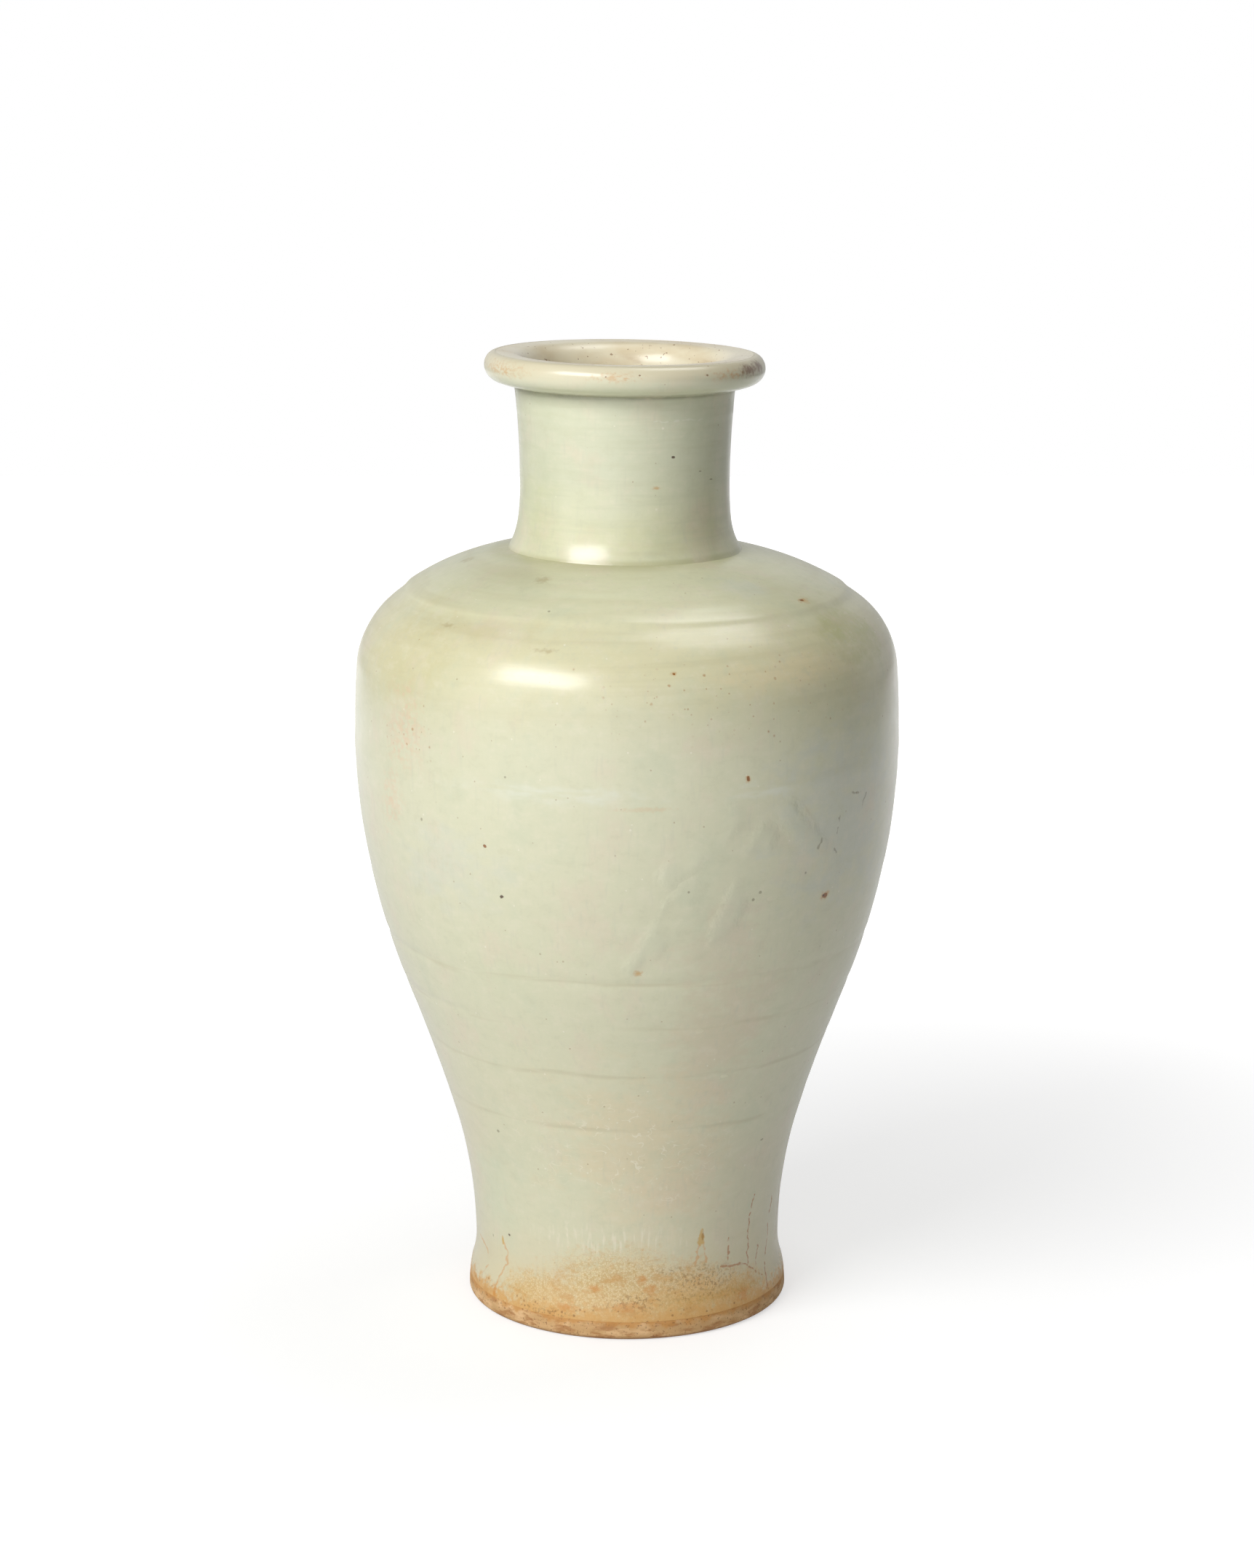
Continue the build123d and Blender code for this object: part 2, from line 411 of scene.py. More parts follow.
def make_stoneware():
    """Fired clay: sandy buff, flushed orange by the kiln, rusty where the glaze ends, with painted shade
    along the bottom edge.
    """
    clay = Finish("stoneware_clay", colour(208, 168, 116))
    clay.layer(clay.mask(clay.cloud(12, 4), 0.4, 0.65), colour(230, 192, 142))
    clay.layer(clay.mask(clay.cloud(7, 2.4, (3, 1, 7), detail=4), 0.48, 0.64), colour(178, 124, 72), 0.8)
    glaze_line = clay.ragged_height(clay.ripple(5, 5, detail=4), 9)
    clay.layer(clay.mask(glaze_line, 4.5, 7), colour(206, 148, 78), 0.8)
    clay.layer(clay.mask(clay.cloud(0.9, 0.9, detail=2), 0.58, 0.7), colour(140, 92, 50), 0.7)
    # Painted shade: the clay darkens towards the bottom edge, where the foot meets the floor.
    clay.layer(clay.mask(clay.height, 1.8, 0.2), colour(132, 92, 58), 0.7)
    clay.raise_by(clay.cloud(0.7, 0.5, detail=4), 0.1)
    clay.raise_by(clay.cloud(40, 0.9, detail=2), 0.08)
    return clay.fire(clay.spread(clay.cloud(3, 3), 0.55, 0.8))


stoneware = make_stoneware()
for name in ("foot_section", "belly_section", "shoulder_section", "neck_section", "mouth_rim"):
    low, high = (corner.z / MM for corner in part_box(name))
    outer_wall = between(clay_outside, low, high)
    inner_wall = between(clay_inside[::-1], max(low, floor_centre.imag), high)
    if name == "foot_section":
        loop = [*underside, *outer_wall[1:], *inner_wall[::-1], floor_centre]
    else:
        loop = [*outer_wall, *inner_wall[::-1], outer_wall[0]]
    throw(name, np.array(loop), stoneware)

# Slip seams
# Liquid clay brushed on the scored edges before each section is set on the one below.
# The four layers are hidden in the wall, under both glazes.


def make_slip():
    """Dried and fired slip: pale, fine and a little crumbled."""
    slip = Finish("joining_slip", colour(205, 180, 145))
    slip.layer(slip.mask(slip.cloud(6, 2), 0.4, 0.7), colour(184, 150, 110))
    slip.raise_by(slip.cloud(1.2, 0.6), 0.1)
    return slip.fire(0.8)


joining_slip = make_slip()
for name in ("low_slip_seam", "belly_slip_seam", "neck_slip_seam", "rim_slip_seam"):
    low, high = (corner.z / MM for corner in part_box(name))
    outer_wall = between(clay_outside, low, high)
    inner_wall = between(clay_inside[::-1], low, high)
    throw(name, np.array([*outer_wall, *inner_wall[::-1], outer_wall[0]]), joining_slip)

# Celadon coat
# A thin grey-green glaze, dipped and wiped off above the foot, straw-coloured where it lies thick on the
# shoulder. Age has marked it: buff burns on the belly, iron spots, and rusty crazing near the foot.
glaze_thickness = 0.5
glaze_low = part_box("outer_glaze")[0].z / MM
crest_height = clay_outside[-1].imag
coat_back = between(clay_outside, glaze_low, crest_height)
coat_face = between(outline(outside, longest_step=0.9), glaze_low, crest_height)
into_air = air_side(coat_face)
feather_height = 5
thinnest_share = 0.15
feathered = np.clip((coat_face.imag - glaze_low) / feather_height, thinnest_share, 1)
coat_face = coat_face + glaze_thickness * feathered * into_air


def on_coat(azimuth, height):
    """A point on the coat in millimetres. Azimuth 0 is the front, and positive turns to the right."""
    radius = np.interp(height, coat_face.imag, coat_face.real)
    return Vector((radius * sin(radians(azimuth)), -radius * cos(radians(azimuth)), height))


class CoatFinish(Finish):
    """A finish with marks in places of their own on the coat.

    A mark is (azimuth, height, width, tall), the last two in millimetres.
    """

    def __init__(self, name, ground):
        super().__init__(name, ground)
        self.coarse = self.ripple(16, 9, detail=4)
        self.medium = self.ripple(5, 4, (7, 3, 1), detail=4)
        self.fine = self.ripple(1.6, 1.6)
        sway_size = 4
        sway_reach = (4, 4, 2)
        noise = {"Vector": self.stretched(sway_size, sway_size), "Scale": 1, "Detail": 2}
        sway = add_node(self.tree, "ShaderNodeTexNoise", noise).outputs["Color"]
        sway = self.vector("SUBTRACT", sway, (0.5, 0.5, 0.5))[0]
        self.swayed_place = self.vector("MULTIPLY_ADD", sway, sway_reach, self.place)[0]
        self.pore_spacing = 2.0
        cells = {"Vector": self.stretched(self.pore_spacing, self.pore_spacing), "Scale": 1}
        pores = add_node(self.tree, "ShaderNodeTexVoronoi", cells).outputs
        self.off_pore = pores["Distance"]
        self.pore_draws = add_node(self.tree, "ShaderNodeSeparateColor", {0: pores["Color"]}).outputs

    def least(self, values):
        """The smallest of several values."""
        smallest = values[0]
        for value in values[1:]:
            smallest = self.math("MINIMUM", smallest, value)
        return smallest

    def reach(self, marks):
        """How far off the nearest of several marks lies, where 1 is its edge."""
        reaches = []
        for azimuth, height, across, tall in marks:
            scale = np.array([2 / across, 2 / across, 2 / tall])
            centre = scale * np.array(on_coat(azimuth, height))
            off = self.vector("MULTIPLY_ADD", self.place, scale, -centre)[0]
            reaches.append(self.vector("LENGTH", off)["Value"])
        return self.least(reaches)

    def patches(self, marks, noise):
        """Soft masks round some marks, with edges that a noise makes ragged."""
        raggedness = 1.6
        return self.mask(self.math("MULTIPLY_ADD", noise, raggedness, self.reach(marks)), 1.0, 0.1)

    def spots(self, marks):
        """Small blots with a firm edge."""
        raggedness = 1.2
        return self.mask(self.math("MULTIPLY_ADD", self.fine, raggedness, self.reach(marks)), 1.0, 0.5)

    def strokes(self, routes, width, raggedness=0.8):
        """Runs or cracks along routes from place to place, unsteady in line and ragged in width."""
        gaps = []
        for first, last in (ends for route in routes for ends in pairwise(route)):
            start = on_coat(*first)
            along = on_coat(*last) - start
            off = self.vector("SUBTRACT", self.swayed_place, start)[0]
            share = self.vector("DOT_PRODUCT", off, along / along.length_squared)["Value"]
            share = add_node(self.tree, "ShaderNodeClamp", {"Value": share}).outputs[0]
            nearest = self.vector("SCALE", along, Scale=share)[0]
            gaps.append(self.vector("DISTANCE", off, nearest)["Value"])
        gap = self.math("MULTIPLY_ADD", self.fine, raggedness * width, self.least(gaps))
        return self.mask(gap, width / 2, width / 8)

    def specks(self, draw, share, across):
        """Specks of one size, at a share of the pores that one of their three draws picks."""
        raggedness = 0.3
        edge = across / self.pore_spacing / 2
        chosen = self.math("LESS_THAN", self.pore_draws[draw], share)
        off_speck = self.math("MULTIPLY_ADD", self.fine, raggedness, self.off_pore)
        return self.math("MULTIPLY", self.mask(off_speck, edge, edge / 2), chosen)


def paint_thickness(celadon):
    """Straw and green where the glaze lies thick and where it pooled at the neck root, a painted sheen on the
    top of the shoulder, and painted shade under the rim.
    """
    shoulder = celadon.mask(celadon.ragged_height(celadon.coarse, 26), 222, 258)
    celadon.layer(shoulder, colour(219, 214, 176))
    # Partly the glaze's own lighter tone and partly a painted sheen: the top of the shoulder is lightened all
    # round.
    shoulder_top_and_sheen = celadon.mask(celadon.ragged_height(celadon.coarse, 14), 255, 274)
    celadon.layer(shoulder_top_and_sheen, colour(220, 220, 186))
    neck = celadon.mask(celadon.ragged_height(celadon.coarse, 30), 284, 318)
    celadon.layer(neck, colour(214, 216, 189))
    root_level = 280.4
    neck_root = celadon.mask(celadon.off_level(celadon.height, root_level), 1.8, 0.2)
    celadon.layer(neck_root, colour(188, 187, 142), 0.6)
    # Painted shade: a dark band on the neck just under the rim, where the rim's shadow falls.
    painted_shade_under_rim = celadon.band((336.6, 338.5), (339.0, 340.2))
    celadon.layer(painted_shade_under_rim, colour(120, 118, 84), 0.62)


def paint_flushes(celadon):
    """Broad flushes that the kiln left: warm low on the body, buff burns, grey and green pools, with two
    painted reflections among them: a cool grey sheen on the belly's right and a pale haze on the shoulder.
    """
    low = celadon.mask(celadon.height, 120, 60)
    warm = celadon.mask(celadon.cloud(70, 60, detail=1), 0.3, 0.6)
    celadon.layer(low, colour(221, 213, 182), 0.6, within=warm)
    flushes = [
        # mark, strength, tint
        # Painted reflection: a cool grey sheen on the right of the belly.
        ((52, 196, 90, 90), 0.6, colour(206, 210, 198)),
        ((-42, 180, 70, 40), 0.5, colour(210, 213, 196)),
        ((23, 118, 54, 120), 0.8, colour(217, 207, 178)),
        ((20, 152, 36, 46), 0.6, colour(217, 208, 181)),
        ((4, 76, 84, 90), 0.8, colour(225, 213, 179)),
        ((-33, 145, 66, 40), 0.6, colour(214, 215, 184)),
        ((-54, 50, 34, 50), 0.7, colour(213, 217, 187)),
        ((18, 56, 44, 34), 0.5, colour(224, 208, 176)),
        ((36, 249, 76, 16), 0.7, colour(228, 215, 174)),
        ((-58, 250, 70, 46), 0.6, colour(210, 203, 156)),
        ((-36, 262, 70, 12), 0.6, colour(210, 200, 158)),
        ((62, 258, 52, 30), 0.7, colour(190, 192, 138)),
        # Painted reflection: a pale haze on the shoulder, right of the neck.
        ((40, 274, 26, 12), 0.6, colour(216, 219, 201)),
        ((-60, 296, 40, 50), 0.5, colour(208, 212, 172)),
        ((6, 288, 60, 16), 0.5, colour(212, 212, 170)),
        ((150, 190, 90, 80), 0.6, colour(219, 208, 182)),
        ((-140, 120, 80, 70), 0.6, colour(210, 212, 182)),
        ((-110, 235, 60, 24), 0.6, colour(222, 206, 176)),
        ((120, 90, 50, 60), 0.5, colour(224, 212, 182)),
        ((170, 60, 80, 80), 0.7, colour(225, 213, 179)),
        ((-95, 150, 60, 90), 0.5, colour(206, 210, 194)),
        ((165, 250, 90, 18), 0.6, colour(226, 212, 170)),
        ((105, 150, 50, 70), 0.5, colour(212, 213, 190)),
    ]
    cloudy = celadon.math("MULTIPLY_ADD", celadon.medium, 0.7, celadon.coarse)
    for mark, strength, tint in flushes:
        celadon.layer(celadon.patches([mark], cloudy), tint, strength)
    burns = celadon.patches([(-52, 226, 30, 40), (-57, 198, 20, 36), (145, 222, 40, 34)], cloudy)
    grainy = celadon.mask(celadon.cloud(2.4, 2.0, (1, 2, 3), detail=2), 0.35, 0.65)
    celadon.layer(burns, colour(226, 198, 166), 0.65, within=grainy)


def paint_streaks(celadon):
    """Mottling, brushed rings round the shoulder, rain where the glaze ran and dirt in the throwing lines.

    Gives the curtains of glaze that slid down the belly before the firing, which stand a little proud.
    """
    drift = celadon.cloud(20, 24, (5, 0, 2), detail=4, roughness=0.65)
    celadon.layer(celadon.mask(drift, 0.5, 0.72), colour(224, 211, 187), 0.5)
    celadon.layer(celadon.mask(drift, 0.48, 0.28), colour(205, 210, 181), 0.45)
    grain = celadon.cloud(7, 4, (3, 9, 4), detail=4, roughness=0.75)
    celadon.layer(celadon.mask(grain, 0.5, 0.68), colour(230, 224, 200), 0.28)
    celadon.layer(celadon.mask(grain, 0.48, 0.32), colour(204, 203, 172), 0.28)
    shoulder = celadon.band((225, 255), (278, 300))
    rings = celadon.mask(celadon.cloud(50, 2.6, detail=2), 0.42, 0.72)
    celadon.layer(rings, colour(203, 196, 156), 0.32, within=shoulder)
    neck = celadon.mask(celadon.height, 280, 290)
    brushed = celadon.mask(celadon.cloud(26, 2.2, (4, 4, 0), detail=2), 0.45, 0.7)
    celadon.layer(brushed, colour(205, 207, 176), 0.35, within=neck)
    rain = celadon.mask(celadon.cloud(1.5, 12, detail=2), 0.5, 0.8)
    celadon.layer(rain, colour(201, 203, 180), 0.3, within=celadon.mask(drift, 0.35, 0.6))

    slides = [
        [(13, 177), (2.4, 148)],
        [(29, 194), (20, 158)],
        [(33, 203), (48, 178)],
        [(22, 202), (9, 182)],
        [(176, 190), (164, 150)],
        [(-140, 200), (-128, 166)],
    ]
    curtains = celadon.strokes(slides, 14, raggedness=0.1)
    patchy = celadon.mask(celadon.cloud(18, 18, (4, 1, 6), detail=1), 0.35, 0.65)
    curtains = celadon.math("MULTIPLY", curtains, patchy)
    celadon.layer(curtains, colour(205, 209, 184), 0.3)

    wandering = celadon.ragged_height(celadon.ripple(40, 200, detail=1), 5)
    levels = (141.4, 124.0, 103.8, 81.6)
    off_line = celadon.least([celadon.off_level(wandering, level) for level in levels])
    unbroken = celadon.mask(celadon.cloud(26, 3, (6, 1, 2), detail=2), 0.4, 0.65)
    celadon.layer(celadon.mask(off_line, 1.5, 0.1), colour(192, 184, 150), 0.35, within=unbroken)

    seam_smears = [(-16, 210.5, 96, 11), (28, 210.5, 44, 8), (-170, 210, 90, 10), (100, 211, 60, 8)]
    smeared = celadon.mask(celadon.cloud(14, 2.6, (0, 6, 3), detail=2), 0.3, 0.68)
    celadon.layer(celadon.patches(seam_smears, celadon.medium), colour(226, 228, 211), 0.6, within=smeared)
    rusty_smear = [(4, 206, 26, 2.4)]
    celadon.layer(celadon.patches(rusty_smear, celadon.fine), colour(216, 196, 160), 0.5)
    neck_line = [(14, 329.6), (28, 329.8), (43, 329.6)]
    celadon.layer(celadon.strokes([neck_line], 0.9), colour(228, 228, 210), 0.6)
    return curtains


def paint_iron(celadon):
    """Iron that burned through: scattered flecks, denser on the shoulder, single spots and pale pinholes."""
    celadon.layer(celadon.specks(draw=0, share=0.03, across=0.8), colour(160, 134, 92), 0.45)
    scuffed = celadon.patches([(-2, 72, 110, 60), (165, 90, 100, 60)], celadon.coarse)
    pitted = celadon.spread(scuffed, 0.015, 0.115)
    celadon.layer(celadon.specks(draw=1, share=pitted, across=0.9), colour(238, 234, 216), 0.6)
    contour = celadon.off_level(celadon.cloud(5, 3.5, (8, 8, 1), detail=1), 0.5)
    broken = celadon.mask(celadon.cloud(4, 4, (2, 5, 5), detail=1), 0.5, 0.56)
    hairlines = celadon.math("MULTIPLY", celadon.mask(contour, 0.02, 0.008), broken)
    celadon.layer(hairlines, colour(238, 232, 210), 0.7, within=scuffed)
    speckled = celadon.patches([(22, 243, 150, 40), (-50, 222, 44, 40), (160, 238, 110, 40)], celadon.medium)
    dust = celadon.specks(draw=2, share=0.3, across=0.8)
    celadon.layer(dust, colour(176, 136, 88), 0.5, within=speckled)
    flecks = celadon.specks(draw=0, share=0.06, across=1.5)
    celadon.layer(flecks, colour(180, 130, 78), 0.6, within=speckled)
    halos = [
        (47, 167.5, 6, 4.6),
        (2.6, 146.1, 4.4, 3),
        (54.9, 268.3, 8, 2.6),
        (15.6, 306.4, 5, 1.8),
        (24.7, 214.9, 2.4, 3.6),
        (9.7, 251.6, 3.2, 2.2),
        (158, 182, 5, 4),
        (-128, 138, 4.2, 3),
        (-104, 262, 6, 2.4),
    ]
    celadon.layer(celadon.patches(halos, celadon.fine), colour(204, 158, 92), 0.75)
    rust = [
        (47, 167.5, 3.2, 2.4),
        (-30.1, 190, 1.8, 1.5),
        (24.7, 214.9, 1.5, 2.1),
        (54, 268.5, 3.0, 1.2),
        (9.7, 251.6, 1.4, 1.0),
        (158, 182, 2.6, 2.0),
        (-104, 262, 2.4, 1.1),
        (110, 226, 1.6, 1.8),
    ]
    celadon.layer(celadon.spots(rust), colour(140, 84, 36), 0.9)
    iron = [
        (-27, 172.3, 1.9, 1.7),
        (25.4, 317, 1.9, 1.2),
        (-49.2, 32.5, 1.6, 1.3),
        (83, 248.7, 1.6, 1.3),
        (46.6, 167.7, 1.3, 1.0),
        (172, 152, 1.8, 1.6),
        (-150, 206, 1.7, 1.5),
        (118, 310, 1.7, 1.2),
        (-118, 92, 1.6, 1.4),
    ]
    celadon.layer(celadon.spots(iron), colour(78, 52, 36), 0.9)
    grey = [
        (28.7, 173.6, 1.5, 1.5),
        (27.1, 171.2, 1.5, 1.5),
        (40, 178, 1.4, 1.4),
        (12.7, 176.1, 1.2, 1.2),
        (-46.8, 195.4, 1.8, 1.8),
        (-24.9, 215.3, 1.2, 1.2),
        (50.3, 70.1, 2.0, 1.2),
        (-46, 74.8, 1.8, 1.4),
        (43.7, 311.2, 2.4, 0.9),
        (52.9, 307.8, 2.6, 0.9),
        (-20.8, 269, 1.4, 0.8),
        (76.9, 268.1, 2.0, 1.0),
        (-60.4, 29, 1.1, 1.4),
        (134, 196, 1.6, 1.6),
        (137, 193, 1.3, 1.3),
        (-166, 170, 1.6, 1.4),
        (-100, 214, 1.4, 1.4),
        (104, 118, 1.6, 1.4),
        (-176, 306, 2.2, 0.9),
    ]
    celadon.layer(celadon.spots(grey), colour(122, 112, 84), 0.55)
    scratches = [
        [(51, 203.5), (56, 202.5)],
        [(58, 201), (57, 197)],
        [(49, 198), (48.5, 190)],
        [(44, 190), (43, 186)],
        [(48, 184.5), (50, 182)],
        [(-160, 148), (-157, 140)],
        [(126, 172), (130, 170.5)],
    ]
    celadon.layer(celadon.strokes(scratches, 1.2), colour(124, 112, 80), 0.5)
    stains = [(-80, 276.5, 9, 4), (-30, 276.3, 8, 3), (-47, 262, 10, 2), (-18, 258, 12, 2), (150, 275, 9, 3)]
    celadon.layer(celadon.patches(stains, celadon.fine), colour(172, 152, 106), 0.45)


def paint_foot(celadon):
    """Glaze crazed into fine grains near the foot, with rust in the cracks, runs and drips.

    Gives where the surface is worn.
    """
    wash = celadon.mask(celadon.ragged_height(celadon.coarse, 24), 40, 8)
    celadon.layer(wash, colour(223, 209, 170), 0.7)
    arch = [
        (-30, 12, 48, 24),
        (-3, 15, 62, 42),
        (20, 13, 50, 34),
        (43, 9, 44, 26),
        (168, 12, 60, 38),
        (130, 9, 44, 24),
        (-130, 10, 46, 28),
    ]
    crumbling = celadon.math("MULTIPLY_ADD", celadon.medium, 0.5, celadon.fine)
    off_arch = celadon.math("MULTIPLY_ADD", crumbling, 0.7, celadon.reach(arch))
    foot_level = celadon.ragged_height(celadon.math("ADD", celadon.medium, celadon.fine), 9)
    above_line = celadon.mask(foot_level, 12.5, 7)
    crazed = celadon.math("MAXIMUM", celadon.mask(off_arch, 1.15, 0.35), above_line)
    celadon.layer(crazed, colour(227, 203, 148), 0.75)

    above_arch = celadon.patches([(-4, 37, 76, 18)], celadon.fine)
    streaks = celadon.mask(celadon.cloud(1.1, 9, detail=1), 0.5, 0.66)
    celadon.layer(streaks, colour(234, 227, 204), 0.7, within=above_arch)

    grain_size = 0.75
    grain = {"Vector": celadon.stretched(grain_size, grain_size), "Scale": 1}
    grains = add_node(celadon.tree, "ShaderNodeTexVoronoi", grain).outputs["Color"]
    draw = add_node(celadon.tree, "ShaderNodeSeparateColor", {0: grains}).outputs[0]
    pale_grains = celadon.math("GREATER_THAN", draw, 0.6)
    celadon.layer(pale_grains, colour(237, 220, 178), 0.4, within=crazed)
    dark_grains = celadon.math("LESS_THAN", draw, 0.28)
    celadon.layer(dark_grains, colour(198, 156, 92), 0.36, within=crazed)
    crazing = add_node(celadon.tree, "ShaderNodeTexVoronoi", grain, feature="DISTANCE_TO_EDGE")
    veins = celadon.mask(crazing.outputs[0], 0.15, 0.02)
    celadon.layer(veins, colour(180, 132, 68), 0.38, within=crazed)

    golden = celadon.mask(foot_level, 25, 9)
    celadon.layer(golden, colour(222, 178, 108), 0.42, within=crazed)
    rusty = celadon.mask(foot_level, 13.5, 7)
    celadon.layer(rusty, colour(220, 168, 96), 0.72)
    blooms = celadon.mask(celadon.cloud(7, 4, (1, 8, 3), detail=4), 0.5, 0.68)
    celadon.layer(blooms, colour(206, 150, 78), 0.55, within=crazed)
    toasted = celadon.patches([(30, 16, 62, 30)], celadon.medium)
    celadon.layer(toasted, colour(226, 178, 108), 0.4, within=crazed)
    rust_blots = [
        (5.6, 22.2, 6, 5),
        (8.8, 18.3, 7, 5),
        (-12, 18.6, 6, 4),
        (46.8, 10.8, 9, 8),
        (0, 12.5, 14, 5),
        (-22, 10.9, 12, 4),
        (-56.5, 9, 3.5, 9),
        (172, 18, 7, 5),
        (158, 12, 12, 5),
        (-138, 13, 8, 5),
        (112, 10, 10, 6),
    ]
    celadon.layer(celadon.patches(rust_blots, celadon.fine), colour(210, 142, 64), 0.6)
    smoked = [(28, 19, 46, 18), (17, 25, 18, 5), (4, 14, 34, 9), (-30, 8, 30, 5), (176, 16, 24, 12)]
    sooty = celadon.patches(smoked, celadon.medium)
    soot = celadon.mask(celadon.cloud(1.1, 1.1, (6, 6, 6), detail=2), 0.5, 0.62)
    celadon.layer(soot, colour(140, 98, 48), 0.52, within=sooty)
    scale = celadon.specks(draw=2, share=0.5, across=1.1)
    celadon.layer(scale, colour(136, 84, 38), 0.6, within=celadon.mask(foot_level, 15, 8))

    left_run = [(-52.7, 28.6), (-50.5, 24), (-51.3, 20.5), (-54.0, 16), (-55.4, 12)]
    loop = [(-75, 25), (-66, 22), (-63.8, 17), (-68, 12)]
    drop_legs = [[(27.2, 34), (25.6, 26)], [(28.8, 34), (30.8, 26)]]
    celadon.layer(celadon.strokes([left_run, loop, *drop_legs], 1.5), colour(218, 172, 120), 0.7)
    drop = [(28, 37.2, 2.2, 6), (28, 35.2, 3.4, 5.4), (-53.5, 29.2, 1.8, 4)]
    celadon.layer(celadon.spots(drop), colour(212, 174, 98), 0.85)
    celadon.layer(celadon.spots([(28.6, 37, 1.2, 5)]), colour(176, 128, 56), 0.7)
    celadon.layer(celadon.patches([(-56, 8.5, 3.5, 8)], celadon.fine), colour(212, 148, 66), 0.8)
    cracks = [
        [(37, 23.2), (45, 22.2), (51.3, 20.2), (59.9, 14)],
        [(52.5, 47), (50.8, 39), (51.5, 20)],
        [(68, 45), (66.2, 30), (64, 18), (61.1, 8)],
        [(40.7, 34), (40.5, 23.5)],
        [(58, 26), (56.6, 18)],
        [(80, 40), (76, 22)],
        [(146, 42), (149, 24), (153, 10)],
        [(-118, 36), (-116, 20), (-121, 8)],
    ]
    celadon.layer(celadon.strokes(cracks, 1.2, raggedness=0.55), colour(182, 120, 70), 0.75)
    return rusty


def paint_rim(celadon):
    """Thin glaze that the clay warms to cream, rubbed, speckled and stained on the edge."""
    thin_glaze = celadon.mask(celadon.ragged_height(celadon.medium, 5), 341, 348)
    celadon.layer(thin_glaze, colour(224, 214, 184), 0.85)
    rubbed = [
        (-60, 346.7, 36, 8),
        (-5, 346.5, 26, 4.5),
        (47, 345.8, 24, 6),
        (150, 346, 30, 6),
        (-130, 346, 26, 5),
    ]
    grainy = celadon.mask(celadon.cloud(1.8, 1.0, detail=2), 0.35, 0.65)
    celadon.layer(celadon.patches(rubbed, celadon.fine), colour(210, 168, 116), 0.6, within=grainy)
    rim_flecks = celadon.specks(draw=1, share=0.1, across=0.8)
    celadon.layer(rim_flecks, colour(146, 104, 64), 0.6, within=celadon.mask(celadon.height, 342, 346))
    rim_stain = celadon.patches([(61, 346.3, 19, 6), (71, 346.8, 13, 7)], celadon.fine)
    celadon.layer(rim_stain, colour(124, 86, 50), 0.85)
    rim_spots = [
        (34.2, 346.5, 1.5, 1.2),
        (39.6, 346.7, 1.5, 1.2),
        (-8.4, 346.7, 1.1, 0.9),
        (5.1, 347.2, 1.0, 0.8),
        (48.1, 348.6, 1.4, 0.8),
        (-82, 347.1, 2.5, 2),
        (165, 346.8, 1.4, 1.1),
        (-118, 347, 1.5, 1.2),
    ]
    celadon.layer(celadon.spots(rim_spots), colour(120, 78, 44), 0.8)


def make_celadon():
    """The whole coat, painted in the order in which it came about: glaze, kiln marks, wear, stains, with some
    painted shade, sheen and reflections among them.
    """
    celadon = CoatFinish("celadon_glaze", colour(218, 217, 187))
    paint_thickness(celadon)
    paint_flushes(celadon)
    curtains = paint_streaks(celadon)
    paint_iron(celadon)
    worn = paint_foot(celadon)
    paint_rim(celadon)
    celadon.raise_by(curtains, 0.3)
    celadon.raise_by(celadon.medium, 0.05)
    celadon.raise_by(celadon.cloud(60, 1.3, detail=2), 0.018)
    glassy = celadon.spread(celadon.cloud(14, 6, (2, 2, 9), detail=1), 0.21, 0.29)
    dulled_by_wear = 0.25
    celadon.surface.inputs["Specular IOR Level"].default_value = 0.62
    return celadon.fire(celadon.math("MULTIPLY_ADD", worn, dulled_by_wear, glassy))


throwing_lines = [
    # height, how proud, half width
    (330.0, 0.08, 0.8),
    (267.2, 0.08, 1.2),
    (264.6, -0.1, 1.2),
    (210.3, 0.15, 3.0),
    (166.0, -0.1, 2.0),
    (141.6, -0.28, 1.6),
    (124.2, -0.25, 1.6),
    (104.0, -0.1, 1.8),
    (81.8, -0.12, 1.8),
]
lines = sum(
    proud * np.exp(-(((coat_face.imag - level) / half_width) ** 2))
    for level, proud, half_width in throwing_lines
)
hidden = np.zeros(len(coat_back))
throw(
    "outer_glaze",
    np.array([*coat_face, *coat_back[::-1], coat_face[0]]),
    make_celadon(),
    air=np.array([*into_air, *hidden, into_air[0]]),
    line=np.array([*lines, *hidden, lines[0]]),
    segments=126,
    ring_depth=0.5,
    seed=3.0,
)

# Lining
# The same glaze poured in, swirled over the whole inside and drained over the lip.
# It is thinner and creamier than the coat outside, with brown stains below the lip.


def make_lining():
    """Creamy glaze, clouded by the clay under it, speckled, and stained in a ring below the lip."""
    lining = Finish("lining_glaze", colour(242, 234, 207))
    lining.layer(lining.mask(lining.cloud(26, 9, detail=4), 0.4, 0.7), colour(228, 213, 180))
    below_lip = lining.band((322, 334), (340, 348))
    stains = lining.mask(lining.cloud(13, 7, (4, 4, 4), detail=4), 0.5, 0.68)
    lining.layer(stains, colour(178, 144, 102), 0.6, within=below_lip)
    lining.layer(lining.mask(lining.cloud(1.3, 1.3, detail=1), 0.68, 0.76), colour(146, 108, 70), 0.7)
    lining.raise_by(lining.cloud(8, 5), 0.05)
    return lining.fire(lining.spread(lining.cloud(12, 6), 0.2, 0.3))


lining_back = np.array([*clay_inside, floor_centre])
lining_face = lining_back + glaze_thickness * air_side(lining_back)
lining_face[-1] = floor_centre + 1j * glaze_thickness
throw(
    "lining_glaze",
    np.array([*lining_back[::-1], *lining_face]),
    make_lining(),
    segments=126,
)

# Floor
# A sheet of white paper under the vase, wider than the camera sees and running far back behind it.
# It takes the vase's soft shadow, and beyond the shadow it is as white as the air behind.


